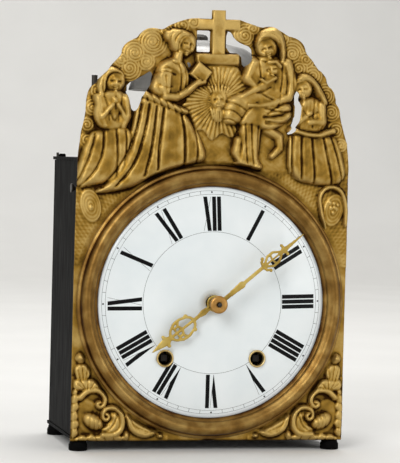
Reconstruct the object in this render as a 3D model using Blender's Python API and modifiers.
"""Morbier clock: an iron cage with two weight trains, a pressed brass front and an enamel dial.

Metres, +Z up, the dial faces -Y. Every piece hangs from the empty "clock", whose y = 0 is the
plane of the pressed sheet and whose z = 0 is the underside of the cage.
"""
import math

import bmesh
import bpy
import numpy as np

# Cage
CAGE_WIDTH = 0.266
CAGE_HEIGHT = 0.271
CAGE_FRONT = 0.004
CAGE_BACK = 0.1425
PLATE_THICKNESS = 0.003
PILLAR_SIDE = 0.009
PILLAR_INSET = 0.0025
TENON_RADIUS = 0.0035
TENON_PROUD = 0.003
FOOT_HEIGHT = 0.010
FOOT_RADIUS = 0.009
PANEL_SHEET = 0.001
CORD_SLOT_WIDTH = 0.012
CORD_SLOT_LENGTH = 0.044
PENDULUM_SLOT_WIDTH = 0.060
PENDULUM_SLOT_DEPTH = 0.012
CLEARANCE = 0.0003

# Side doors
DOOR_SHEET = 0.001
KNUCKLE_RADIUS = 0.0029
ROD_RADIUS = 0.0013
ROD_PROUD = 0.004
PULL_DROP = 0.029
PULL_SETBACK = 0.012
PULL_PROUD = 0.005
PULL_RADIUS = 0.0045
PULL_NECK = 0.002
PULL_RIM = 0.0015

# Pressed front
FACADE_WIDTH = 0.271
FACADE_HEIGHT = 0.4165
FACADE_SHEET = 0.0012
RELIEF_DEPTH = 0.0125
STRAP_HEIGHT = 0.012
STRAP_THICKNESS = 0.0022
STRAP_GAP = 0.0032

# Dial and bezel: the bezel fills the sheet's width, and the dial sits behind it
BEZEL_TO_SIDE = 0.003
BEZEL_TO_FOOT = 0.0018
BEZEL_WIDTH = 0.0205
BEZEL_CREST = 0.011
BEZEL_LIP = 0.0015
BEZEL_LAP = 0.006
DIAL_LAP = 0.0035
DIAL_THICKNESS = 0.0022
DIAL_DOME = 0.009
DIAL_RIM = 0.0012
DIAL_HOLE = 0.0075
DIAL_PLAY = 0.001
WINDING_X = 0.0458
WINDING_DROP = 0.054
WINDING_HOLE = 0.0062
COLLAR_WALL = 0.0006
COLLAR_RADIUS = 0.0085
COLLAR_RISE = 0.0008

# Hands
HOUR_HAND = 0.077
MINUTE_TIP_GAP = 0.0045
HAND_SHEET = 0.0012
HOUR_HAND_PLANE = -0.0165
MINUTE_HAND_PLANE = -0.0295
HAND_BOSS = 0.0085
PIPE_PROUD = 0.001
COLLET_STEP = 0.0008
COLLET_TIP_GAP = 0.0025
ARBOR_TIP = -0.037
HOUR_ANGLE = math.radians(231.9)
MINUTE_ANGLE = math.radians(50.3)

# Bars and arbors of the movement
BAR_THICKNESS = 0.004
BAR_WIDTH = 0.020
CENTRE_BAR_WIDTH = 0.014
BAR_TENON_SHARE = 0.5
FRONT_BARS = 0.022
BACK_BARS = 0.112
ARBOR_RADIUS = 0.0025
PIVOT_RADIUS = 0.0014
BARREL_ARBOR = 0.0042
BARREL_SHOULDER = 0.001
BARREL_PIVOT = 0.003
STUD_RADIUS = 0.002
STUD_TENON = 0.0014
STUD_PROUD = 0.002
HAND_ARBOR = 0.002
PIPE_RADIUS = 0.0038
HOUR_PIPE = 0.0056

# Barrels
DRUM_RADIUS = 0.024
DRUM_FLANGE = 0.027
FLANGE_THICKNESS = 0.002
DRUM_LENGTH = 0.052
DRUM_GAP = 0.002
WINDING_SQUARE = 0.0062
SQUARE_SINK = 0.002
SQUARE_LENGTH = 0.007

# Wheels: teeth and leaves, and where each wheel's front face lies
WHEEL_THICKNESS = 0.003
THIN_WHEEL = 0.002
LEAF_OVERLAP = 0.002
GREAT_TEETH = 60
CENTRE_LEAVES = 10
CENTRE_TEETH = 48
THIRD_LEAVES = 8
THIRD_TEETH = 48
ESCAPE_LEAVES = 8
ESCAPE_TEETH = 30
CANNON_LEAVES = 9
MINUTE_TEETH = 27
MINUTE_LEAVES = 8
HOUR_TEETH = 32
STRIKE_TEETH = 54
PIN_LEAVES = 9
PIN_TEETH = 40
FLY_LEAVES = 8
GREAT_PLANE = 0.088
STRIKE_PLANE = 0.030
CENTRE_PLANE = 0.070
THIRD_PLANE = 0.056
ESCAPE_PLANE = 0.040
PIN_PLANE = 0.044
MINUTE_PLANE = 0.0165
HOUR_PLANE = 0.0105
LEAF_SIDE_PLAY = 0.0005

# Places of the arbors, across and up from the dial's centre
THIRD_X = 0.041
THIRD_RISE = 0.026
ESCAPE_RISE = 0.0546
ANCHOR_RISE = 0.039
MOTION_DISTANCE = 0.032
PIN_X = -0.0508
PIN_RISE = 0.008
FLY_RISE = 0.040

# Escapement
ESCAPE_RADIUS = 0.027
ESCAPE_TOOTH = 0.0038
PALLET_PLAY = 0.0022
PALLET_ANGLE = math.radians(38)
ANCHOR_ARM = 0.0032
ANCHOR_HUB = 0.006
PALLET_HEIGHT = 0.008
CRUTCH_LENGTH = 0.095
CRUTCH_WIDTH = 0.004
CRUTCH_SHEET = 0.002
CRUTCH_OFFSET = 0.0035
FORK_GAP = 0.009
FORK_PRONG = 0.0025
FORK_DEPTH = 0.010

# Striking
LIFTING_PINS = 8
LIFTING_PIN_RADIUS = 0.0012
LIFTING_PIN_LENGTH = 0.006
PIN_SINK = 0.001
PIN_CIRCLE_SHARE = 0.88
FLY_SPAN = 0.066
FLY_WIDTH = 0.032
FLY_PLANE = 0.074
FLY_SHEET = 0.002

# Bell and hammer
BELL_RADIUS = 0.070
BELL_RIM = 0.339
BELL_TOP = 0.390
BELL_CROWN = 0.020
BELL_WALL = 0.003
BELL_LIP = 0.006
BELL_BACK = 0.0722
BELL_POST = 0.005
BELL_STEM = 0.0035
BELL_SEAT = 0.009
POST_FLANGE = 0.010
POST_STEP = 0.003
NUT_RADIUS = 0.008
NUT_HEIGHT = 0.005
HAMMER_X = -0.102
HAMMER_Y = 0.092
HAMMER_RADIUS = 0.003
HAMMER_HEAD = 0.0075
HAMMER_GAP = 0.002
HAMMER_LOW = 0.12
HAMMER_RISE = 0.014
HAMMER_ARM_DROP = 0.0075
HAMMER_BAR = 0.004
HAMMER_TAIL_SETBACK = 0.004
HAMMER_BLADE_CLEAR = 0.003

# The front's forms are drawn in millimetres on a sheet of this size, then scaled to the real one
DRAWN_WIDTH = 271.0
DRAWN_HEIGHT = 416.5
DRAWN_PEAK = 12.5
DRAWN_MARGIN = 6.0
RELIEF_GRID = 1.9
RELIEF_KEEP = 0.024
RELIEF_SMOOTHING = 1
HOLLOW_GRID = 6.5
HOLLOW_KEEP = 0.12
BEZEL_MARGIN = 0.006
BEZEL_SLOPE = 0.005

# How finely round things are faceted
BELL_STEPS = 22
DIAL_STEPS = 36
DRUM_STEPS = 12
PIPE_STEPS = 12
SHAFT_STEPS = 8
BORE_STEPS = 8

TURN = 2 * math.pi
FACING = (math.pi / 2, 0, 0)
PARTS = "morbier_clock"
CUTTERS = "cutters"

FINISHES = {
    "gilt_brass": ((0.62, 0.42, 0.13), 0.32, 1.0),
    "clock_brass": ((0.66, 0.49, 0.20), 0.38, 1.0),
    "black_iron": ((0.018, 0.018, 0.02), 0.5, 0.0),
    "bright_iron": ((0.32, 0.32, 0.33), 0.38, 1.0),
    "bell_metal": ((0.42, 0.40, 0.38), 0.3, 1.0),
    "white_enamel": ((0.83, 0.86, 0.88), 0.12, 0.0),
}

# What follows from the sizes above
BEZEL_OUTER = FACADE_WIDTH / 2 - BEZEL_TO_SIDE
BEZEL_INNER = BEZEL_OUTER - BEZEL_WIDTH
DIAL_RADIUS = BEZEL_INNER + DIAL_LAP
DIAL_HEIGHT = BEZEL_OUTER + BEZEL_TO_FOOT
MINUTE_HAND = BEZEL_INNER - MINUTE_TIP_GAP
WINDING_REACH = math.hypot(WINDING_X, WINDING_DROP)

DIAL = (0.0, DIAL_HEIGHT)
GOING_BARREL = (WINDING_X, DIAL_HEIGHT - WINDING_DROP)
STRIKE_BARREL = (-WINDING_X, DIAL_HEIGHT - WINDING_DROP)
THIRD = (THIRD_X, DIAL_HEIGHT + THIRD_RISE)
ESCAPE = (0.0, DIAL_HEIGHT + ESCAPE_RISE)
ANCHOR = (0.0, ESCAPE[1] + ANCHOR_RISE)
MINUTE_STUD = (0.0, DIAL_HEIGHT - MOTION_DISTANCE)
PIN_WHEEL = (PIN_X, DIAL_HEIGHT + PIN_RISE)
FLY = (PIN_X, PIN_WHEEL[1] + FLY_RISE)
BELL = (0.0, BELL_BACK)
HAMMER = (HAMMER_X, HAMMER_Y)

PLATE_TOP = CAGE_HEIGHT - PLATE_THICKNESS
FRONT_BAR_BACK = FRONT_BARS + BAR_THICKNESS
BACK_BAR_BACK = BACK_BARS + BAR_THICKNESS
FRONT_END = FRONT_BAR_BACK + CLEARANCE
BACK_END = BACK_BARS - CLEARANCE
STRIKE_BAR_X = (STRIKE_BARREL[0] + PIN_WHEEL[0]) / 2
GOING_BAR_X = (GOING_BARREL[0] + THIRD[0]) / 2
HOUR_PIPE_END = HOUR_HAND_PLANE - HAND_SHEET - PIPE_PROUD
CANNON_END = MINUTE_HAND_PLANE - HAND_SHEET - PIPE_PROUD


def clear_scene():
    for thing in list(bpy.data.objects):
        bpy.data.objects.remove(thing, do_unlink=True)
    for name in (PARTS, CUTTERS):
        group = bpy.data.collections.new(name)
        bpy.context.scene.collection.children.link(group)


def make_finishes():
    for name, (colour, roughness, metallic) in FINISHES.items():
        material = bpy.data.materials.new(name)
        material.use_nodes = True
        shader = material.node_tree.nodes["Principled BSDF"]
        shader.inputs["Base Color"].default_value = (*colour, 1)
        shader.inputs["Roughness"].default_value = roughness
        shader.inputs["Metallic"].default_value = metallic


# Shapes

def add_piece(name, data, finish, place=(0, 0, 0), tilt=(0, 0, 0)):
    """A named object for one sub-part, hung from the clock's empty."""
    piece = bpy.data.objects.new(name, data)
    bpy.data.collections[PARTS].objects.link(piece)
    data.materials.append(bpy.data.materials[finish])
    piece.parent = bpy.data.objects["clock"]
    piece.location = place
    piece.rotation_euler = tilt
    return piece


def circle(radius, count, centre=(0, 0)):
    steps = [TURN * i / count for i in range(count)]
    return [(centre[0] + radius * math.cos(a), centre[1] + radius * math.sin(a)) for a in steps]


def bore_edge(radius, centre=(0, 0), count=BORE_STEPS):
    """A faceted hole that clears a round shaft of this radius all the way round."""
    return circle(radius / math.cos(math.pi / count), count, centre)


def arc(radius, begin, end, count):
    steps = [begin + (end - begin) * i / (count - 1) for i in range(count)]
    return [(radius * math.cos(a), radius * math.sin(a)) for a in steps]


def rectangle(x0, y0, x1, y1):
    return [(x0, y0), (x1, y0), (x1, y1), (x0, y1)]


def slot(x, y, width, depth):
    return rectangle(x - width / 2, y - depth / 2, x + width / 2, y + depth / 2)


def flat_curve(name, outlines, thickness):
    """A flat piece: the first outline is its edge and the others are its holes."""
    data = bpy.data.curves.new(name, "CURVE")
    data.dimensions = "2D"
    data.fill_mode = "BOTH"
    data.extrude = thickness / 2
    for outline in outlines:
        spline = data.splines.new("POLY")
        spline.points.add(len(outline) - 1)
        for point, (x, y) in zip(spline.points, outline):
            point.co = (x, y, 0, 1)
        spline.use_cyclic_u = True
    return data


def facing_plate(name, outlines, front, thickness, finish, centre=(0, 0)):
    """A flat piece drawn as the dial's owner sees it, x across and z up, from y = front backwards."""
    data = flat_curve(name, outlines, thickness)
    place = (centre[0], front + thickness / 2, centre[1])
    return add_piece(name, data, finish, place, FACING)


def turned(name, profile, finish, place=(0, 0, 0), tilt=(0, 0, 0), steps=SHAFT_STEPS, loop=False):
    """A turned piece: (radius, height) down the outer side, spun round its own z."""
    data = bpy.data.meshes.new(name)
    shape = bmesh.new()
    points = [shape.verts.new((radius, 0, height)) for radius, height in profile]
    for a, b in zip(points, points[1:]):
        shape.edges.new((a, b))
    if loop:
        shape.edges.new((points[-1], points[0]))
    shape.to_mesh(data)
    shape.free()
    piece = add_piece(name, data, finish, place, tilt)
    screw = piece.modifiers.new("turn", "SCREW")
    screw.steps = steps
    screw.render_steps = steps
    screw.use_merge_vertices = True
    screw.merge_threshold = 0.00001
    screw.use_smooth_shade = True
    return piece


def shaft(name, stations, centre, finish="bright_iron", steps=SHAFT_STEPS):
    """A turned shaft from (y, radius) stations, front first, closed on its axis."""
    profile = [(0, -stations[0][0])]
    for (y0, radius), (y1, _) in zip(stations, stations[1:]):
        profile += [(radius, -y0), (radius, -y1)]
    profile.append((0, -stations[-1][0]))
    return turned(name, profile, finish, (centre[0], 0, centre[1]), FACING, steps)


def as_mesh(piece):
    """The piece as its modifiers and curve leave it, as one welded mesh under the same name."""
    bpy.context.view_layer.update()
    seen = piece.evaluated_get(bpy.context.evaluated_depsgraph_get())
    data = bpy.data.meshes.new_from_object(seen)
    shape = bmesh.new()
    shape.from_mesh(data)
    bmesh.ops.remove_doubles(shape, verts=shape.verts, dist=0.000002)
    shape.to_mesh(data)
    shape.free()
    name = piece.name
    place = tuple(piece.location)
    tilt = tuple(piece.rotation_euler)
    finish = piece.material_slots[0].material.name
    bpy.data.objects.remove(piece, do_unlink=True)
    data.materials.clear()
    return add_piece(name, data, finish, place, tilt)


def combine(piece, other, operation):
    """Cut, join or keep what two pieces share; the second becomes a hidden tool."""
    bpy.data.collections[PARTS].objects.unlink(other)
    bpy.data.collections[CUTTERS].objects.link(other)
    other.name = "tool_" + other.name
    other.hide_render = True
    other.display_type = "WIRE"
    step = piece.modifiers.new(operation.lower(), "BOOLEAN")
    step.operation = operation
    step.solver = "EXACT"
    step.object = other
    return piece


def block(name, low, high, finish):
    """A box between two corners."""
    data = bpy.data.meshes.new(name)
    shape = bmesh.new()
    bmesh.ops.create_cube(shape, size=1)
    size = [b - a for a, b in zip(low, high)]
    bmesh.ops.scale(shape, vec=size, verts=shape.verts)
    shape.to_mesh(data)
    shape.free()
    return add_piece(name, data, finish, [(a + b) / 2 for a, b in zip(low, high)])


# Gearing

def gear(teeth, module, phase, pinion=False):
    """A wheel's edge. Its teeth are pointed and a pinion's leaves are square, so a pair has some play."""
    pitch = TURN / teeth
    radius = teeth * module / 2
    outer = radius + 0.75 * module
    wheel_tooth = ((outer, 0), (radius - 1.35 * module, 1))
    root = radius - 1.05 * module
    leaf = ((root, -0.46), (outer, -0.16), (outer, 0.16), (root, 0.46))
    edge = []
    for i in range(teeth):
        for r, share in leaf if pinion else wheel_tooth:
            angle = phase + (i + share / 2) * pitch
            edge.append((r * math.cos(angle), r * math.sin(angle)))
    return edge


def heading(a, b):
    return math.atan2(b[1] - a[1], b[0] - a[0])


def spacing(a, b):
    return math.hypot(b[0] - a[0], b[1] - a[1])


def module_for(a, b, teeth, leaves):
    """The tooth size that makes two wheels on these arbors mesh."""
    return 2 * spacing(a, b) / (teeth + leaves)


def meshing_phase(teeth, a, b, other_teeth):
    """The second wheel's phase: a gap of its own faces a tooth of the first on their line of centres."""
    towards = heading(a, b)
    return towards + math.pi + math.pi / other_teeth + towards * teeth / other_teeth


def crossings(outer, inner, arms=4):
    """The windows between a wheel's arms."""
    holes = []
    half_arm = 0.06 * (inner + outer)
    for i in range(arms):
        begin = TURN * i / arms
        end = TURN * (i + 1) / arms
        wide = arc(outer, begin + half_arm / outer, end - half_arm / outer, 4)
        narrow = arc(inner, end - half_arm / inner, begin + half_arm / inner, 2)
        holes.append(wide + narrow)
    return holes


def wheel(name, teeth, module, phase, front, thickness, centre, bore, crossed=True):
    """A toothed wheel, crossed out to four arms unless it is a small one."""
    radius = teeth * module / 2
    outlines = [gear(teeth, module, phase), bore_edge(bore)]
    if crossed:
        outlines += crossings(radius * 0.80, bore * 1.2 + radius * 0.16)
    return facing_plate(name, outlines, front, thickness, "clock_brass", centre)


def with_pinion(arbor, leaves, module, phase, wheel_plane, centre):
    """An arbor with a pinion cut from the same steel, a little longer than the wheel it meets."""
    edge = gear(leaves, module, phase, pinion=True)
    front = wheel_plane - LEAF_OVERLAP
    length = WHEEL_THICKNESS + 2 * LEAF_OVERLAP
    pinion = facing_plate(arbor.name + "_leaves", [edge], front, length, "bright_iron", centre)
    return combine(arbor, as_mesh(pinion), "UNION")


def pivoted():
    """A plain arbor between the bars, with a fine pivot at each end."""
    return [
        (FRONT_BARS, PIVOT_RADIUS),
        (FRONT_END, ARBOR_RADIUS),
        (BACK_END, PIVOT_RADIUS),
        (BACK_BAR_BACK, 0),
    ]


# Cage

def pillar_places():
    x = CAGE_WIDTH / 2 - PILLAR_INSET - PILLAR_SIDE / 2
    front = CAGE_FRONT + PILLAR_SIDE / 2
    back = CAGE_BACK - 2 * KNUCKLE_RADIUS - PILLAR_INSET - PILLAR_SIDE / 2 - 2 * CLEARANCE
    return {
        "front_left": (-x, front),
        "front_right": (x, front),
        "back_left": (-x, back),
        "back_right": (x, back),
    }


def hinge_places():
    x = CAGE_WIDTH / 2 - DOOR_SHEET - KNUCKLE_RADIUS
    y = CAGE_BACK - KNUCKLE_RADIUS - DOOR_SHEET
    return {"left": (-x, y), "right": (x, y)}


def bar_places():
    bars = {}
    for end, front in (("front", FRONT_BARS), ("back", BACK_BARS)):
        bars["strike_bar_" + end] = (STRIKE_BAR_X, BAR_WIDTH, front)
        bars["centre_bar_" + end] = (0.0, CENTRE_BAR_WIDTH, front)
        bars["going_bar_" + end] = (GOING_BAR_X, BAR_WIDTH, front)
    return bars


def plate_holes():
    """What both cage plates are pierced for: pillars, door rods and the tenons of the bars."""
    holes = [bore_edge(TENON_RADIUS + CLEARANCE, place) for place in pillar_places().values()]
    holes += [bore_edge(ROD_RADIUS + CLEARANCE, place, 6) for place in hinge_places().values()]
    for x, width, front in bar_places().values():
        tenon = width * BAR_TENON_SHARE + 2 * CLEARANCE
        holes.append(slot(x, front + BAR_THICKNESS / 2, tenon, BAR_THICKNESS + 2 * CLEARANCE))
    return holes


def make_cage():
    half = CAGE_WIDTH / 2
    edge = rectangle(-half, CAGE_FRONT, half, CAGE_BACK)
    middle = (FRONT_BARS + BACK_BARS) / 2
    slots = []
    for barrel in (STRIKE_BARREL, GOING_BARREL):
        x = barrel[0] + math.copysign(DRUM_RADIUS, barrel[0])
        slots.append(slot(x, middle, CORD_SLOT_WIDTH, CORD_SLOT_LENGTH))
    slots.append(slot(0, BACK_BAR_BACK + PENDULUM_SLOT_DEPTH, PENDULUM_SLOT_WIDTH, PENDULUM_SLOT_DEPTH))
    bottom = flat_curve("bottom_plate", [edge] + plate_holes() + slots, PLATE_THICKNESS)
    add_piece("bottom_plate", bottom, "black_iron", (0, 0, PLATE_THICKNESS / 2))
    fittings = [bore_edge(BELL_STEM + CLEARANCE, BELL), bore_edge(HAMMER_RADIUS + CLEARANCE, HAMMER)]
    top = flat_curve("top_plate", [edge] + plate_holes() + fittings, PLATE_THICKNESS)
    add_piece("top_plate", top, "black_iron", (0, 0, CAGE_HEIGHT - PLATE_THICKNESS / 2))
    for name, (x, y) in pillar_places().items():
        make_pillar(name, x, y)
    for side in ("left", "right"):
        make_door(side)
    for name, (x, width, front) in bar_places().items():
        make_bar(name, x, width, front)
    inner = half - 2 * KNUCKLE_RADIUS - 2 * DOOR_SHEET - CLEARANCE
    panel = rectangle(-inner, PLATE_THICKNESS + CLEARANCE, inner, PLATE_TOP - CLEARANCE)
    facing_plate("back_panel", [panel], CAGE_BACK - DOOR_SHEET - PANEL_SHEET, PANEL_SHEET, "black_iron")


def make_pillar(name, x, y):
    """A square post with round tenons, the upper one riveted over and the lower one carrying a foot."""
    half = PILLAR_SIDE / 2
    low = (x - half, y - half, PLATE_THICKNESS + CLEARANCE)
    high = (x + half, y + half, PLATE_TOP - CLEARANCE)
    post = block("pillar_" + name, low, high, "black_iron")
    top = CAGE_HEIGHT + TENON_PROUD
    tenon = [(0, top), (TENON_RADIUS * 0.8, top), (TENON_RADIUS, top - TENON_PROUD / 3)]
    tenon += [(TENON_RADIUS, -FOOT_HEIGHT * 0.8), (0, -FOOT_HEIGHT * 0.8)]
    rod = turned("tenon_" + name, tenon, "black_iron", (x, y, 0))
    combine(post, as_mesh(rod), "UNION")
    bore = TENON_RADIUS + CLEARANCE
    foot = [(bore, -CLEARANCE), (FOOT_RADIUS * 0.85, -CLEARANCE), (FOOT_RADIUS, -FOOT_HEIGHT * 0.25)]
    foot += [(FOOT_RADIUS, -FOOT_HEIGHT), (bore, -FOOT_HEIGHT)]
    turned("foot_" + name, foot, "black_iron", (x, y, 0), loop=True)


def make_door(side):
    """A sheet door whose rear edge is rolled round a rod that stands in both plates."""
    x, y = hinge_places()[side]
    out = math.copysign(1, x)
    low = PLATE_THICKNESS + CLEARANCE
    tall = PLATE_TOP - CLEARANCE - low
    lap = math.acos(1 - DOOR_SHEET / KNUCKLE_RADIUS)
    reach = y - CAGE_FRONT - CLEARANCE
    edge = [(KNUCKLE_RADIUS, -reach)] + arc(KNUCKLE_RADIUS, 0, TURN - lap, 12)
    edge.append((KNUCKLE_RADIUS - DOOR_SHEET, -reach))
    bore = bore_edge(ROD_RADIUS + CLEARANCE)
    outlines = [[(out * a, b) for a, b in outline] for outline in (edge, bore)]
    data = flat_curve("side_door_" + side, outlines, tall)
    add_piece("side_door_" + side, data, "black_iron", (x, y, low + tall / 2))
    top = CAGE_HEIGHT + ROD_PROUD
    rod = [(0, top), (ROD_RADIUS, top), (ROD_RADIUS, 0), (0, 0)]
    turned("hinge_rod_" + side, rod, "bright_iron", (x, y, 0))
    pull = [(0, PULL_PROUD), (PULL_RADIUS, PULL_PROUD), (PULL_RADIUS, PULL_PROUD - PULL_RIM)]
    pull += [(PULL_NECK, PULL_RIM), (PULL_NECK, 0), (0, 0)]
    face = x + out * (KNUCKLE_RADIUS + CLEARANCE)
    place = (face, CAGE_FRONT + PULL_SETBACK, CAGE_HEIGHT - PULL_DROP)
    turned("door_pull_" + side, pull, "bright_iron", place, (0, out * math.pi / 2, 0), 10)


def bar_bores(name):
    """The pivot holes of each bar, as (place, radius)."""
    front = name.endswith("front")
    barrel = BARREL_ARBOR if front else BARREL_PIVOT
    if name.startswith("strike"):
        return [(STRIKE_BARREL, barrel), (PIN_WHEEL, PIVOT_RADIUS), (FLY, PIVOT_RADIUS)]
    if name.startswith("going"):
        return [(GOING_BARREL, barrel), (THIRD, PIVOT_RADIUS)]
    if front:
        ends = [(DIAL, ARBOR_RADIUS), (ANCHOR, PIVOT_RADIUS), (MINUTE_STUD, STUD_TENON)]
    else:
        ends = [(DIAL, PIVOT_RADIUS), (ANCHOR, ARBOR_RADIUS)]
    return ends + [(ESCAPE, PIVOT_RADIUS)]


def make_bar(name, x, width, front):
    """An upright with a tenon through each plate, drilled for the pivots of its train."""
    half = width / 2
    inner = half * BAR_TENON_SHARE
    low = PLATE_THICKNESS + CLEARANCE
    high = PLATE_TOP - CLEARANCE
    right = [(inner, 0), (inner, low), (half, low), (half, high), (inner, high), (inner, CAGE_HEIGHT)]
    left = [(-across, up) for across, up in right[::-1]]
    holes = [
        bore_edge(radius + CLEARANCE, (place[0] - x, place[1])) for place, radius in bar_bores(name)
    ]
    facing_plate(name, [right + left] + holes, front, BAR_THICKNESS, "black_iron", (x, 0))


def make_straps():
    """The two iron straps behind the front that carry it on the front pillars."""
    half = CAGE_WIDTH / 2 - PILLAR_INSET
    front = CAGE_FRONT - CLEARANCE - STRAP_THICKNESS
    high = PLATE_TOP - STRAP_GAP - STRAP_HEIGHT
    for name, z in (("front_strap_lower", PLATE_THICKNESS), ("front_strap_upper", high)):
        edge = rectangle(-half, z, half, z + STRAP_HEIGHT)
        facing_plate(name, [edge], front, STRAP_THICKNESS, "black_iron")


# Going train, with the dial's motion work

def dial_face(radius):
    """How far the enamel's face stands in front of the sheet's plane at a distance from its centre."""
    return DIAL_RIM + DIAL_DOME * (1 - (radius / DIAL_RADIUS) ** 2)


def make_barrel(name, centre, drum_front):
    """A winding drum turned in one with its arbor, whose front end is squared for the key."""
    square_front = DIAL_THICKNESS - dial_face(WINDING_REACH) + SQUARE_SINK
    square_back = square_front + SQUARE_LENGTH
    drum_back = drum_front + DRUM_LENGTH
    shoulder = BARREL_ARBOR + BARREL_SHOULDER
    stations = [
        (square_back, BARREL_ARBOR),
        (FRONT_END, shoulder),
        (drum_front, DRUM_FLANGE),
        (drum_front + FLANGE_THICKNESS, DRUM_RADIUS),
        (drum_back - FLANGE_THICKNESS, DRUM_FLANGE),
        (drum_back, shoulder),
        (BACK_END, BARREL_PIVOT),
        (BACK_BAR_BACK, 0),
    ]
    barrel = shaft(name, stations, centre, "clock_brass", DRUM_STEPS)
    half = WINDING_SQUARE / 2
    low = (centre[0] - half, square_front, centre[1] - half)
    high = (centre[0] + half, square_back + SQUARE_SINK, centre[1] + half)
    combine(barrel, block(name + "_square", low, high, "bright_iron"), "UNION")


def make_going_train():
    great_module = module_for(GOING_BARREL, DIAL, GREAT_TEETH, CENTRE_LEAVES)
    centre_module = module_for(DIAL, THIRD, CENTRE_TEETH, THIRD_LEAVES)
    third_module = module_for(THIRD, ESCAPE, THIRD_TEETH, ESCAPE_LEAVES)
    centre_phase = meshing_phase(GREAT_TEETH, GOING_BARREL, DIAL, CENTRE_LEAVES)
    third_phase = meshing_phase(CENTRE_TEETH, DIAL, THIRD, THIRD_LEAVES)
    escape_phase = meshing_phase(THIRD_TEETH, THIRD, ESCAPE, ESCAPE_LEAVES)
    seat = ARBOR_RADIUS + CLEARANCE
    bore = BARREL_ARBOR + BARREL_SHOULDER + CLEARANCE

    make_barrel("going_barrel", GOING_BARREL, GREAT_PLANE - DRUM_GAP - DRUM_LENGTH)
    wheel("going_great_wheel", GREAT_TEETH, great_module, 0, GREAT_PLANE, WHEEL_THICKNESS, GOING_BARREL, bore)

    stations = [(ARBOR_TIP, HAND_ARBOR), (FRONT_END, ARBOR_RADIUS)]
    stations += [(BACK_END, PIVOT_RADIUS), (BACK_BAR_BACK, 0)]
    centre = shaft("centre_arbor", stations, DIAL)
    with_pinion(centre, CENTRE_LEAVES, great_module, centre_phase, GREAT_PLANE, DIAL)
    wheel("centre_wheel", CENTRE_TEETH, centre_module, 0, CENTRE_PLANE, THIN_WHEEL, DIAL, seat)

    third = shaft("third_arbor", pivoted(), THIRD)
    with_pinion(third, THIRD_LEAVES, centre_module, third_phase, CENTRE_PLANE, THIRD)
    wheel("third_wheel", THIRD_TEETH, third_module, 0, THIRD_PLANE, THIN_WHEEL, THIRD, seat)

    escape = shaft("escape_arbor", pivoted(), ESCAPE)
    with_pinion(escape, ESCAPE_LEAVES, third_module, escape_phase, THIRD_PLANE, ESCAPE)
    make_escapement(seat)
    make_motion_work()


def make_escapement(seat):
    """The escape wheel with its raked teeth, and the anchor that rocks over it with its crutch behind."""
    edge = []
    pitch = TURN / ESCAPE_TEETH
    for i in range(ESCAPE_TEETH):
        for r, share in ((ESCAPE_RADIUS, 0), (ESCAPE_RADIUS - ESCAPE_TOOTH, 0.22)):
            angle = -(i + share) * pitch
            edge.append((r * math.cos(angle), r * math.sin(angle)))
    holes = [bore_edge(seat)] + crossings(ESCAPE_RADIUS * 0.70, ESCAPE_RADIUS * 0.28)
    facing_plate("escape_wheel", [edge] + holes, ESCAPE_PLANE, WHEEL_THICKNESS, "clock_brass", ESCAPE)

    clear = ESCAPE_RADIUS + PALLET_PLAY
    x = clear * math.sin(PALLET_ANGLE)
    z = clear * math.cos(PALLET_ANGLE) - ANCHOR_RISE
    nib = ANCHOR_ARM * 0.3
    right = [(0, ANCHOR_HUB), (ANCHOR_HUB, ANCHOR_HUB * 0.75), (x + ANCHOR_ARM, z + PALLET_HEIGHT)]
    right += [(x + 2 * nib, z - nib), (x, z), (x - nib, z + PALLET_HEIGHT * 0.9)]
    right += [(ANCHOR_HUB * 0.67, -ANCHOR_HUB), (0, -ANCHOR_HUB * 0.83)]
    left = [(-across, up) for across, up in right[-2:0:-1]]
    front = ESCAPE_PLANE - LEAF_SIDE_PLAY
    facing_plate("anchor", [right + left, bore_edge(seat)], front, WHEEL_THICKNESS, "bright_iron", ANCHOR)
    stations = [(FRONT_BARS, PIVOT_RADIUS), (FRONT_END, ARBOR_RADIUS), (BACK_BAR_BACK + 2 * CRUTCH_OFFSET, 0)]
    shaft("anchor_arbor", stations, ANCHOR)

    half = CRUTCH_WIDTH / 2
    inner = FORK_GAP / 2
    outer = inner + FORK_PRONG
    drop = -CRUTCH_LENGTH
    right = [(inner, drop + FORK_DEPTH), (inner, drop), (outer, drop)]
    right += [(outer, drop + FORK_DEPTH + CRUTCH_SHEET)]
    right += [(half, drop + FORK_DEPTH + 1.5 * CRUTCH_WIDTH), (half, -1.5 * CRUTCH_WIDTH)]
    right += [(CRUTCH_WIDTH, CRUTCH_WIDTH)]
    left = [(-across, up) for across, up in right[::-1]]
    front = BACK_BAR_BACK + CRUTCH_OFFSET
    facing_plate("crutch", [right + left, bore_edge(seat)], front, CRUTCH_SHEET, "bright_iron", ANCHOR)


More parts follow.
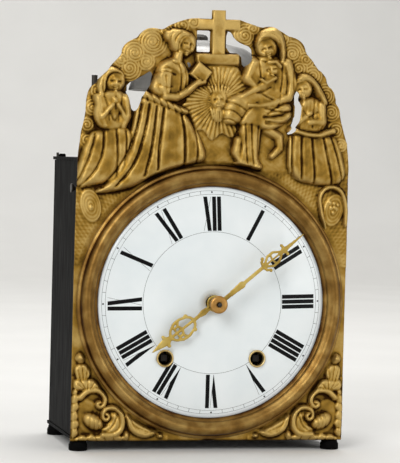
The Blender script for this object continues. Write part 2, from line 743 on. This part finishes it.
def make_motion_work():
    """The twelve to one gearing behind the dial: cannon pinion, minute wheel and hour wheel with its pipe."""
    minute_module = module_for(DIAL, MINUTE_STUD, MINUTE_TEETH, CANNON_LEAVES)
    hour_module = module_for(DIAL, MINUTE_STUD, HOUR_TEETH, MINUTE_LEAVES)
    minute_phase = meshing_phase(CANNON_LEAVES, DIAL, MINUTE_STUD, MINUTE_TEETH)
    hour_phase = meshing_phase(MINUTE_LEAVES, MINUTE_STUD, DIAL, HOUR_TEETH)
    place = (DIAL[0], 0, DIAL[1])

    bore = HAND_ARBOR + CLEARANCE
    back = FRONT_BARS - PIPE_PROUD
    tube = [(bore, -CANNON_END), (PIPE_RADIUS, -CANNON_END), (PIPE_RADIUS, -back), (bore, -back)]
    pipe = turned("cannon_pinion", tube, "bright_iron", place, FACING, PIPE_STEPS, loop=True)
    leaves = [gear(CANNON_LEAVES, minute_module, 0, pinion=True), circle((PIPE_RADIUS + bore) / 2, PIPE_STEPS)]
    front = MINUTE_PLANE - LEAF_SIDE_PLAY
    ring = facing_plate("cannon_leaves", leaves, front, WHEEL_THICKNESS, "bright_iron", DIAL)
    combine(pipe, as_mesh(ring), "UNION")

    bore = STUD_RADIUS + CLEARANCE
    minute = as_mesh(wheel(
        "minute_wheel", MINUTE_TEETH, minute_module, minute_phase, MINUTE_PLANE, WHEEL_THICKNESS, MINUTE_STUD,
        bore, crossed=False))
    leaves = [gear(MINUTE_LEAVES, hour_module, 0, pinion=True), bore_edge(bore)]
    front = HOUR_PLANE - LEAF_SIDE_PLAY
    length = MINUTE_PLANE - HOUR_PLANE + 2 * LEAF_SIDE_PLAY
    pinion = facing_plate("minute_leaves", leaves, front, length, "clock_brass", MINUTE_STUD)
    combine(minute, as_mesh(pinion), "UNION")
    stations = [(HOUR_PLANE - STUD_PROUD, STUD_RADIUS)]
    stations += [(FRONT_BARS - CLEARANCE, STUD_TENON), (FRONT_BAR_BACK, 0)]
    shaft("minute_stud", stations, MINUTE_STUD)

    bore = PIPE_RADIUS + CLEARANCE
    hour = as_mesh(wheel(
        "hour_wheel", HOUR_TEETH, hour_module, hour_phase, HOUR_PLANE, THIN_WHEEL, DIAL, bore, crossed=False))
    back = HOUR_PLANE + THIN_WHEEL / 2
    tube = [(bore, -HOUR_PIPE_END), (HOUR_PIPE, -HOUR_PIPE_END), (HOUR_PIPE, -back), (bore, -back)]
    sleeve = turned("hour_pipe", tube, "clock_brass", place, FACING, PIPE_STEPS, loop=True)
    combine(hour, as_mesh(sleeve), "UNION")


# Striking train, bell and hammer

def pin_module():
    return module_for(PIN_WHEEL, FLY, PIN_TEETH, FLY_LEAVES)


def pin_circle():
    return PIN_TEETH * pin_module() / 2 * PIN_CIRCLE_SHARE


def make_striking_train():
    great_module = module_for(STRIKE_BARREL, PIN_WHEEL, STRIKE_TEETH, PIN_LEAVES)
    pin_phase = meshing_phase(STRIKE_TEETH, STRIKE_BARREL, PIN_WHEEL, PIN_LEAVES)
    fly_phase = meshing_phase(PIN_TEETH, PIN_WHEEL, FLY, FLY_LEAVES)
    seat = ARBOR_RADIUS + CLEARANCE
    bore = BARREL_ARBOR + BARREL_SHOULDER + CLEARANCE

    make_barrel("strike_barrel", STRIKE_BARREL, STRIKE_PLANE + WHEEL_THICKNESS + DRUM_GAP)
    wheel(
        "strike_great_wheel", STRIKE_TEETH, great_module, 0, STRIKE_PLANE, WHEEL_THICKNESS, STRIKE_BARREL, bore)

    arbor = shaft("pin_wheel_arbor", pivoted(), PIN_WHEEL)
    with_pinion(arbor, PIN_LEAVES, great_module, pin_phase, STRIKE_PLANE, PIN_WHEEL)
    module = pin_module()
    pins = as_mesh(wheel("pin_wheel", PIN_TEETH, module, 0, PIN_PLANE, WHEEL_THICKNESS, PIN_WHEEL, seat))
    back = PIN_PLANE + WHEEL_THICKNESS
    for i in range(LIFTING_PINS):
        angle = TURN * (i + 0.5) / LIFTING_PINS
        place = (PIN_WHEEL[0] + pin_circle() * math.cos(angle), PIN_WHEEL[1] + pin_circle() * math.sin(angle))
        stations = [(back - PIN_SINK, LIFTING_PIN_RADIUS), (back + LIFTING_PIN_LENGTH, 0)]
        combine(pins, as_mesh(shaft(f"lifting_pin_{i}", stations, place, steps=5)), "UNION")

    fly = shaft("fly_arbor", pivoted(), FLY)
    with_pinion(fly, FLY_LEAVES, pin_module(), fly_phase, PIN_PLANE, FLY)
    half = FLY_SHEET / 2
    hub = seat + FLY_SHEET
    lean = math.asin(half / hub)
    vane = [(half, FLY_SPAN / 2), (-half, FLY_SPAN / 2)]
    vane += arc(hub, math.pi / 2 + lean, 1.5 * math.pi - lean, 6)
    vane += [(-half, -FLY_SPAN / 2), (half, -FLY_SPAN / 2)]
    vane += arc(hub, -math.pi / 2 + lean, math.pi / 2 - lean, 6)
    facing_plate("fly", [vane, bore_edge(seat)], FLY_PLANE, FLY_WIDTH, "clock_brass", FLY)


def make_bell():
    """The bell on its post above the cage, held by a nut."""
    bore = BELL_STEM + CLEARANCE
    crest = BELL_TOP - BELL_WALL / 3
    outer = [(BELL_CROWN * 0.6, BELL_TOP), (BELL_CROWN, crest)]
    low = BELL_RIM + BELL_LIP
    spread = BELL_RADIUS * 0.96 - BELL_CROWN
    for i in range(1, 5):
        angle = math.radians(90 - 84 * i / 4)
        outer.append((BELL_CROWN + spread * math.cos(angle), low + (crest - low) * math.sin(angle)))
    outer += [(BELL_RADIUS, BELL_RIM + BELL_LIP / 3), (BELL_RADIUS, BELL_RIM)]
    inner = [(r - BELL_WALL * 0.9, z - BELL_WALL * 0.5) for r, z in outer[2:-2]]
    inner.append((BELL_RADIUS - BELL_WALL * 0.8, BELL_RIM))
    roof = BELL_TOP - BELL_WALL
    profile = [(bore, BELL_TOP)] + outer + inner[::-1] + [(BELL_CROWN * 0.6, roof), (bore, roof)]
    turned("bell", profile, "bell_metal", (0, BELL_BACK, 0), steps=BELL_STEPS, loop=True)

    seat = roof - CLEARANCE
    foot = CAGE_HEIGHT + CLEARANCE
    top = BELL_TOP + NUT_HEIGHT * 1.2
    sunk = PLATE_TOP - POST_STEP
    post = [(0, top), (BELL_STEM, top), (BELL_STEM, seat), (BELL_SEAT, seat), (BELL_SEAT, seat - POST_STEP)]
    post += [(BELL_POST, seat - 2 * POST_STEP), (BELL_POST, foot + 2 * POST_STEP)]
    post += [(POST_FLANGE, foot + POST_STEP), (POST_FLANGE, foot), (BELL_STEM, foot)]
    post += [(BELL_STEM, sunk), (0, sunk)]
    turned("bell_post", post, "bright_iron", (0, BELL_BACK, 0), steps=10)
    base = BELL_TOP + CLEARANCE
    nut = [(bore, base + NUT_HEIGHT), (NUT_RADIUS * 0.75, base + NUT_HEIGHT)]
    nut += [(NUT_RADIUS, base + NUT_HEIGHT * 0.6), (NUT_RADIUS, base), (bore, base)]
    turned("bell_nut", nut, "bright_iron", (0, BELL_BACK, 0), steps=10, loop=True)


def make_hammer():
    """An upright arbor with a tail to the lifting pins and an arm to the bell."""
    x, y = HAMMER
    top = BELL_RIM + HAMMER_RISE
    half = HAMMER_BAR / 2
    rod = [(0, top), (HAMMER_RADIUS, top), (HAMMER_RADIUS, HAMMER_LOW), (0, HAMMER_LOW)]
    arbor = turned("hammer_arbor", rod, "bright_iron", (x, y, 0), steps=10)
    towards = heading(HAMMER, BELL)
    reach = spacing(HAMMER, BELL) - BELL_RADIUS - 2 * HAMMER_HEAD - HAMMER_GAP
    z = top - HAMMER_ARM_DROP
    arm = block("hammer_arm", (0, -half, z - half), (reach, half, z + half), "bright_iron")
    arm.location = (x + math.cos(towards) * reach / 2, y + math.sin(towards) * reach / 2, z)
    arm.rotation_euler = (0, 0, towards)
    combine(arbor, arm, "UNION")
    low = PIN_WHEEL[1] - half
    high = PIN_WHEEL[1] + half
    back = PIN_PLANE + WHEEL_THICKNESS + HAMMER_TAIL_SETBACK
    tail = block("hammer_tail", (x - half, back, low), (x + half, y, high), "bright_iron")
    combine(arbor, tail, "UNION")
    end = PIN_WHEEL[0] - pin_circle() - LIFTING_PIN_RADIUS - HAMMER_BLADE_CLEAR
    blade = block("hammer_blade", (x - half, back - half, low), (end, back + half, high), "bright_iron")
    combine(arbor, blade, "UNION")
    head = [(0, HAMMER_HEAD), (HAMMER_HEAD * 0.6, HAMMER_HEAD), (HAMMER_HEAD, HAMMER_HEAD * 0.5)]
    head += [(HAMMER_HEAD, -HAMMER_HEAD), (0, -HAMMER_HEAD)]
    out = reach + CLEARANCE + HAMMER_HEAD
    place = (x + math.cos(towards) * out, y + math.sin(towards) * out, z)
    turned("hammer_head", head, "bright_iron", place, steps=12)


# Dial, bezel and hands

def make_dial():
    """A domed enamel disc with three holes, the brass collars of two of them, and the bezel round it."""
    radii = [DIAL_HOLE, DIAL_RADIUS / 2, DIAL_RADIUS]
    face = [(radius, dial_face(radius)) for radius in radii]
    profile = face + [(r, h - DIAL_THICKNESS) for r, h in face[::-1]]
    place = (DIAL[0], 0, DIAL[1])
    dial = as_mesh(turned("enamel_dial", profile, "white_enamel", place, FACING, DIAL_STEPS, loop=True))
    hole = bore_edge(WINDING_HOLE + COLLAR_WALL + CLEARANCE, count=12)
    for side, barrel in (("left", STRIKE_BARREL), ("right", GOING_BARREL)):
        depth = 4 * DIAL_DOME
        cutter = facing_plate("winding_hole_" + side, [hole], -depth / 2, depth, "white_enamel", barrel)
        combine(dial, as_mesh(cutter), "DIFFERENCE")
        make_collar(side, barrel)

    seat = dial_face(BEZEL_INNER) + CLEARANCE
    behind = DIAL_RADIUS + DIAL_PLAY
    profile = [(BEZEL_INNER, seat), (BEZEL_INNER, seat + BEZEL_LIP)]
    for share, rise in ((0.22, 0.60), (0.34, 0.82), (0.52, 1.0), (0.72, 0.86), (0.86, 0.34), (1.0, 0.26)):
        profile.append((BEZEL_INNER + share * BEZEL_WIDTH, rise * BEZEL_CREST))
    profile += [(BEZEL_OUTER, CLEARANCE), (behind, CLEARANCE), (behind, DIAL_RIM + CLEARANCE)]
    turned("dial_bezel", profile, "gilt_brass", place, FACING, DIAL_STEPS, loop=True)


def make_collar(side, barrel):
    """A thin turned ring that lines a winding hole and laps over the enamel."""
    face = dial_face(WINDING_REACH)
    slope = 2 * DIAL_DOME * WINDING_REACH / DIAL_RADIUS ** 2
    seat = face + COLLAR_RADIUS * slope + CLEARANCE
    crest = seat + COLLAR_RISE
    back = face - DIAL_THICKNESS
    tube = WINDING_HOLE + COLLAR_WALL
    profile = [(WINDING_HOLE, crest), (COLLAR_RADIUS - COLLAR_WALL, crest), (COLLAR_RADIUS, seat)]
    profile += [(tube, seat), (tube, back), (WINDING_HOLE, back)]
    place = (barrel[0], 0, barrel[1])
    turned("winding_collar_" + side, profile, "gilt_brass", place, FACING, PIPE_STEPS, loop=True)


# One side of each hand, as shares of its length across and along
HOUR_SHAPE = [
    (0.030, 0.10), (0.026, 0.27), (0.050, 0.30), (0.032, 0.345), (0.095, 0.45), (0.118, 0.55), (0.088, 0.65),
    (0.045, 0.70), (0.066, 0.735), (0.032, 0.775), (0.018, 0.82), (0.046, 0.865), (0.0, 1.0),
]
HOUR_WINDOW = (0.055, 0.55, 0.030, 0.065)
MINUTE_SHAPE = [
    (0.026, 0.08), (0.024, 0.36), (0.040, 0.395), (0.017, 0.43), (0.013, 0.59), (0.030, 0.62), (0.052, 0.68),
    (0.058, 0.73), (0.036, 0.79), (0.016, 0.815), (0.011, 0.90), (0.0, 1.0),
]
MINUTE_WINDOW = (0.028, 0.725, 0.014, 0.045)


def hand(name, shape, length, window, bore, plane, angle):
    """A pierced brass hand drawn pointing up, then turned to its hour."""
    side = [(x * length, z * length) for x, z in shape]
    begin = math.acos(side[0][0] / HAND_BOSS)
    boss = arc(HAND_BOSS, math.pi - begin, TURN + begin, PIPE_STEPS)
    edge = boss + side + [(-x, z) for x, z in side[-2::-1]]
    holes = [bore_edge(bore, count=PIPE_STEPS)]
    x, z, across, along = window
    for sign in (-1, 1):
        holes.append([(sign * (x + across * u) * length, (z + along * v) * length) for u, v in circle(1, 8)])
    data = flat_curve(name, [edge] + holes, HAND_SHEET)
    place = (DIAL[0], plane - HAND_SHEET / 2, DIAL[1])
    return add_piece(name, data, "gilt_brass", place, (math.pi / 2, angle, 0))


def make_hands():
    hand("hour_hand", HOUR_SHAPE, HOUR_HAND, HOUR_WINDOW, HOUR_PIPE + CLEARANCE, HOUR_HAND_PLANE, HOUR_ANGLE)
    bore = PIPE_RADIUS + CLEARANCE
    hand("minute_hand", MINUTE_SHAPE, MINUTE_HAND, MINUTE_WINDOW, bore, MINUTE_HAND_PLANE, MINUTE_ANGLE)
    bore = HAND_ARBOR + CLEARANCE
    back = CLEARANCE - CANNON_END
    front = -ARBOR_TIP - COLLET_TIP_GAP
    profile = [(bore, front), (HAND_BOSS * 0.55, front), (HAND_BOSS * 0.62, front - COLLET_STEP)]
    profile += [(HAND_BOSS, back + COLLET_STEP), (HAND_BOSS, back), (bore, back)]
    turned("hand_collet", profile, "gilt_brass", (DIAL[0], 0, DIAL[1]), FACING, PIPE_STEPS, loop=True)


# Pressed front, drawn in millimetres

ARCH = [
    (135.5, 262), (133, 289), (128, 303), (126, 320), (119, 335), (112, 349), (104, 361), (96, 371), (88, 382),
    (77, 392), (66, 397), (52, 401), (42, 400), (32, 403), (21, 407.5),
]
CROSS_HALF = 7
CROSS_TOP = 408
GROUND_FROM = 264
GROUND_RISE = 2
OPENINGS = [
    [(-21, 376), (-8.5, 376), (-8.5, 396), (-21, 396)],
    [(8, 376), (23, 375), (25, 362), (33, 373), (33, 382), (24, 384), (16, 389), (13, 395), (8, 396)],
    [(-89, 343), (-90, 335), (-85, 321), (-81, 316), (-77, 322), (-74, 334), (-67, 339), (-63, 358), (-77, 349)],
    [(77.5, 345), (78, 320), (76, 308), (70, 298), (77, 300), (81, 309), (83.5, 322), (82, 334)],
]
CLOUDS = [
    (-64, 382, 16), (-82, 370, 12), (-84, 356, 11), (-37, 400, 8), (-101, 362, 7), (-116, 330, 10), (-123, 308, 9),
    (26, 395, 8), (72, 378, 14), (85, 364, 11), (99, 358, 9), (110, 338, 11), (120, 312, 9), (127, 290, 8),
    (-128, 286, 8), (62, 393, 7), (-20, 403, 6),
]
CLOUD_RISE = 6


def front_outline():
    """The sheet's edge: straight sides and foot, then the cloud-edged arch and the cross on top."""
    half = DRAWN_WIDTH / 2
    right = [(half, 0)] + ARCH + [(CROSS_HALF, CROSS_TOP), (CROSS_HALF, DRAWN_HEIGHT)]
    left = [(-x, z) for x, z in right[::-1]]
    return right + left


def to_sheet(points):
    return [(x * FACADE_WIDTH / DRAWN_WIDTH, z * FACADE_HEIGHT / DRAWN_HEIGHT) for x, z in points]


class Relief:
    """Heights of the pressing over a grid of points; each form raises what lies under it."""

    def __init__(self, x, z):
        self.x = x
        self.z = z
        self.height = np.where(z > GROUND_FROM, GROUND_RISE, 0.0)

    def raise_to(self, height):
        self.height = np.maximum(self.height, height)

    def dome(self, x, z, across, up, height, turn=0.0):
        """An oval swelling."""
        c, s = math.cos(math.radians(turn)), math.sin(math.radians(turn))
        u = ((self.x - x) * c + (self.z - z) * s) / across
        v = ((self.z - z) * c - (self.x - x) * s) / up
        self.raise_to(height * np.sqrt(np.clip(1 - u * u - v * v, 0, 1)))

    def limb(self, points, height):
        """A round-backed ridge through (x, z, half width) points: a limb, fold, ray or scroll."""
        for (x0, z0, r0), (x1, z1, r1) in zip(points, points[1:]):
            dx, dz = x1 - x0, z1 - z0
            along = ((self.x - x0) * dx + (self.z - z0) * dz) / (dx * dx + dz * dz)
            along = np.clip(along, 0, 1)
            gap = np.hypot(self.x - x0 - along * dx, self.z - z0 - along * dz)
            half = r0 + (r1 - r0) * along
            self.raise_to(height * np.sqrt(np.clip(1 - (gap / half) ** 2, 0, 1)))

    def slab(self, x0, z0, x1, z1, height):
        """A flat-topped block with sloping edges."""
        inside = np.minimum(
            np.minimum(self.x - x0, x1 - self.x), np.minimum(self.z - z0, z1 - self.z))
        self.raise_to(height * np.clip(inside / 1.5, 0, 1))


def kneeling_woman(r):
    r.dome(-36, 383, 8.5, 10, 11, -15)
    r.dome(-46, 387, 6, 6.5, 9)
    r.limb([(-39, 372, 5), (-40, 365, 6)], 8)
    r.limb([(-43, 361, 12), (-43, 346, 11.5), (-40, 332, 9)], 11)
    r.limb([(-50, 354, 6.5), (-43, 328, 5.5), (-18, 346, 4)], 12.5)
    r.slab(-27, 342, -6, 366, 8)
    for x, z, half in ((-14, 268, 8), (-34, 256, 8), (-58, 249, 9), (-84, 245, 9), (-108, 240, 6)):
        r.limb([(-40, 326, 9), ((x - 44) / 2, (z + 326) / 2 + 8, 10), (x, z, half)], 10)


def seated_mother(r):
    r.dome(49, 387, 8.5, 10, 11, 20)
    r.limb([(55, 394, 7), (63, 384, 7), (67, 368, 8)], 9)
    r.limb([(50, 366, 15), (50, 345, 15)], 10)
    r.dome(54, 357, 6.5, 7.5, 12.5)
    r.limb([(51, 348, 7), (40, 337, 6), (28, 333, 5)], 12)
    r.limb([(17, 330, 9), (24, 302, 9), (33, 268, 8)], 11)
    r.limb([(40, 328, 10), (46, 298, 9), (50, 268, 8)], 10.5)
    r.limb([(66, 350, 8), (71, 320, 8), (68, 288, 8), (62, 266, 8)], 9)
    r.limb([(30, 262, 7), (66, 262, 7)], 7)


def praying_child(r, side):
    """The small kneeling figure at each end of the group."""
    x = 97 * side
    r.dome(x - 4 * side, 343, 7.5, 8.5, 11)
    r.limb([(x + 3 * side, 330, 9), (x + 5 * side, 303, 9)], 10)
    r.limb([(x + 6 * side, 326, 4), (x - 2 * side, 317, 4), (x - 5 * side, 327, 3)], 12)
    for step in range(-2, 3):
        foot = x + 9 * side + step * 11
        r.limb([(x + 6 * side + step * 2.5, 298, 5), (foot - step * 2, 272, 6), (foot, 246, 6)], 9.5)


def altar_and_sunburst(r):
    r.slab(-CROSS_HALF, 372, CROSS_HALF, 417, 5)
    r.slab(-21, 397, 21, 408.5, 5)
    r.slab(-24, 365, 23, 376, 7)
    r.slab(-17, 340, 17, 366, 4)
    r.dome(0, 328, 9, 13, 11)
    rays = 11
    for i in range(rays):
        angle = math.radians(180 + 180 * i / (rays - 1))
        reach = 34 if i % 2 == 0 else 28
        c, s = math.cos(angle), math.sin(angle)
        r.limb([(10 * c, 326 + 13 * s, 3), (reach * c * 0.8, 326 + reach * s, 2)], 7)
    r.limb([(-14, 268, 8), (18, 268, 8)], 5)


def lower_corners(r):
    for side in (-1, 1):
        r.dome(118 * side, 23, 9, 10, 7)
        r.limb([(132 * side, 80, 3), (128 * side, 52, 4), (126 * side, 36, 5), (108 * side, 27, 4)], 6)
        r.limb([(110 * side, 14, 4), (90 * side, 8, 4), (60 * side, 6, 3)], 6)
        r.limb([(130 * side, 10, 4), (118 * side, 6, 4), (104 * side, 18, 3)], 6)
        r.dome(124 * side, 225, 7, 17, 5)
        r.limb([(133 * side, 82, 2.5), (133 * side, 200, 2.5)], 3)
        r.limb([(112 * side, 247, 3), (132 * side, 252, 3)], 4)


def relief_height(x, z):
    """How far the pressing stands in front of the sheet's plane, in metres; it is flat round the bezel."""
    relief = Relief(x, z)
    for cloud_x, cloud_z, radius in CLOUDS:
        relief.dome(cloud_x, cloud_z, radius, radius, CLOUD_RISE)
    altar_and_sunburst(relief)
    kneeling_woman(relief)
    seated_mother(relief)
    praying_child(relief, -1)
    praying_child(relief, 1)
    lower_corners(relief)
    sheet_x = x * FACADE_WIDTH / DRAWN_WIDTH
    sheet_z = z * FACADE_HEIGHT / DRAWN_HEIGHT
    beyond = np.hypot(sheet_x, sheet_z - DIAL_HEIGHT) - BEZEL_OUTER - BEZEL_MARGIN
    return relief.height * np.clip(beyond / BEZEL_SLOPE, 0, 1) * RELIEF_DEPTH / DRAWN_PEAK


def height_sheet(name, grid, keep, smoothing, height_at, back):
    """A solid whose front is a grid raised by height_at and thinned where it is plain, with a flat back."""
    shape = bmesh.new()
    across = round(DRAWN_WIDTH / grid)
    up = round(DRAWN_HEIGHT / grid)
    bmesh.ops.create_grid(shape, x_segments=across, y_segments=up, size=0.5)
    spots = np.array([v.co[:2] for v in shape.verts])
    x = spots[:, 0] * (DRAWN_WIDTH + DRAWN_MARGIN)
    z = (spots[:, 1] + 0.5) * (DRAWN_HEIGHT + DRAWN_MARGIN) - DRAWN_MARGIN / 2
    for vertex, (sheet_x, sheet_z), height in zip(shape.verts, to_sheet(zip(x, z)), height_at(x, z)):
        vertex.co = (sheet_x, -height, sheet_z)
    for _ in range(smoothing):
        bmesh.ops.smooth_vert(shape, verts=shape.verts, factor=0.5, use_axis_y=True)
    data = bpy.data.meshes.new(name)
    shape.to_mesh(data)
    shape.free()
    sheet = add_piece(name, data, "gilt_brass")
    thin = sheet.modifiers.new("thin", "DECIMATE")
    thin.ratio = keep
    sheet = as_mesh(sheet)
    shape = bmesh.new()
    shape.from_mesh(sheet.data)
    rim = [edge for edge in shape.edges if edge.is_boundary]
    grown = bmesh.ops.extrude_edge_only(shape, edges=rim)["geom"]
    for vertex in (item for item in grown if isinstance(item, bmesh.types.BMVert)):
        vertex.co.y = back
    bmesh.ops.contextual_create(shape, geom=[item for item in grown if isinstance(item, bmesh.types.BMEdge)])
    bmesh.ops.recalc_face_normals(shape, faces=shape.faces)
    shape.to_mesh(sheet.data)
    shape.free()
    return sheet


def hollow_height(x, z):
    """The lowest relief within one cell of the hollow's grid, less the sheet, so that a wall is left."""
    steps = (-HOLLOW_GRID, -HOLLOW_GRID / 2, 0, HOLLOW_GRID / 2, HOLLOW_GRID)
    lowest = np.min([relief_height(x + dx, z + dz) for dx in steps for dz in steps], axis=0)
    return lowest - FACADE_SHEET - CLEARANCE


def make_facade():
    """The pressed sheet: raised in front, hollow behind its large forms, flat under the bezel, cut to shape."""
    sheet = height_sheet(
        "pressed_front", RELIEF_GRID, RELIEF_KEEP, RELIEF_SMOOTHING, relief_height, FACADE_SHEET)
    hollow = height_sheet("front_hollow", HOLLOW_GRID, HOLLOW_KEEP, 0, hollow_height, 2 * RELIEF_DEPTH)
    combine(sheet, hollow, "DIFFERENCE")
    depth = 4 * RELIEF_DEPTH
    room = circle(BEZEL_OUTER + CLEARANCE, DIAL_STEPS, DIAL)
    flat = facing_plate("bezel_room", [room], -depth, depth - CLEARANCE / 2, "gilt_brass")
    combine(sheet, as_mesh(flat), "DIFFERENCE")
    aperture = circle(BEZEL_OUTER - BEZEL_LAP, DIAL_STEPS, DIAL)
    outlines = [to_sheet(front_outline())] + [to_sheet(hole) for hole in OPENINGS] + [aperture]
    cutter = facing_plate("front_edge", outlines, -depth / 2, depth, "gilt_brass")
    combine(sheet, as_mesh(cutter), "INTERSECT")


def main():
    clear_scene()
    make_finishes()
    clock = bpy.data.objects.new("clock", None)
    bpy.data.collections[PARTS].objects.link(clock)
    clock.location = (0, -(ARBOR_TIP + CAGE_BACK) / 2, FOOT_HEIGHT)
    make_cage()
    make_straps()
    make_going_train()
    make_striking_train()
    make_bell()
    make_hammer()
    make_dial()
    make_hands()
    make_facade()


main()
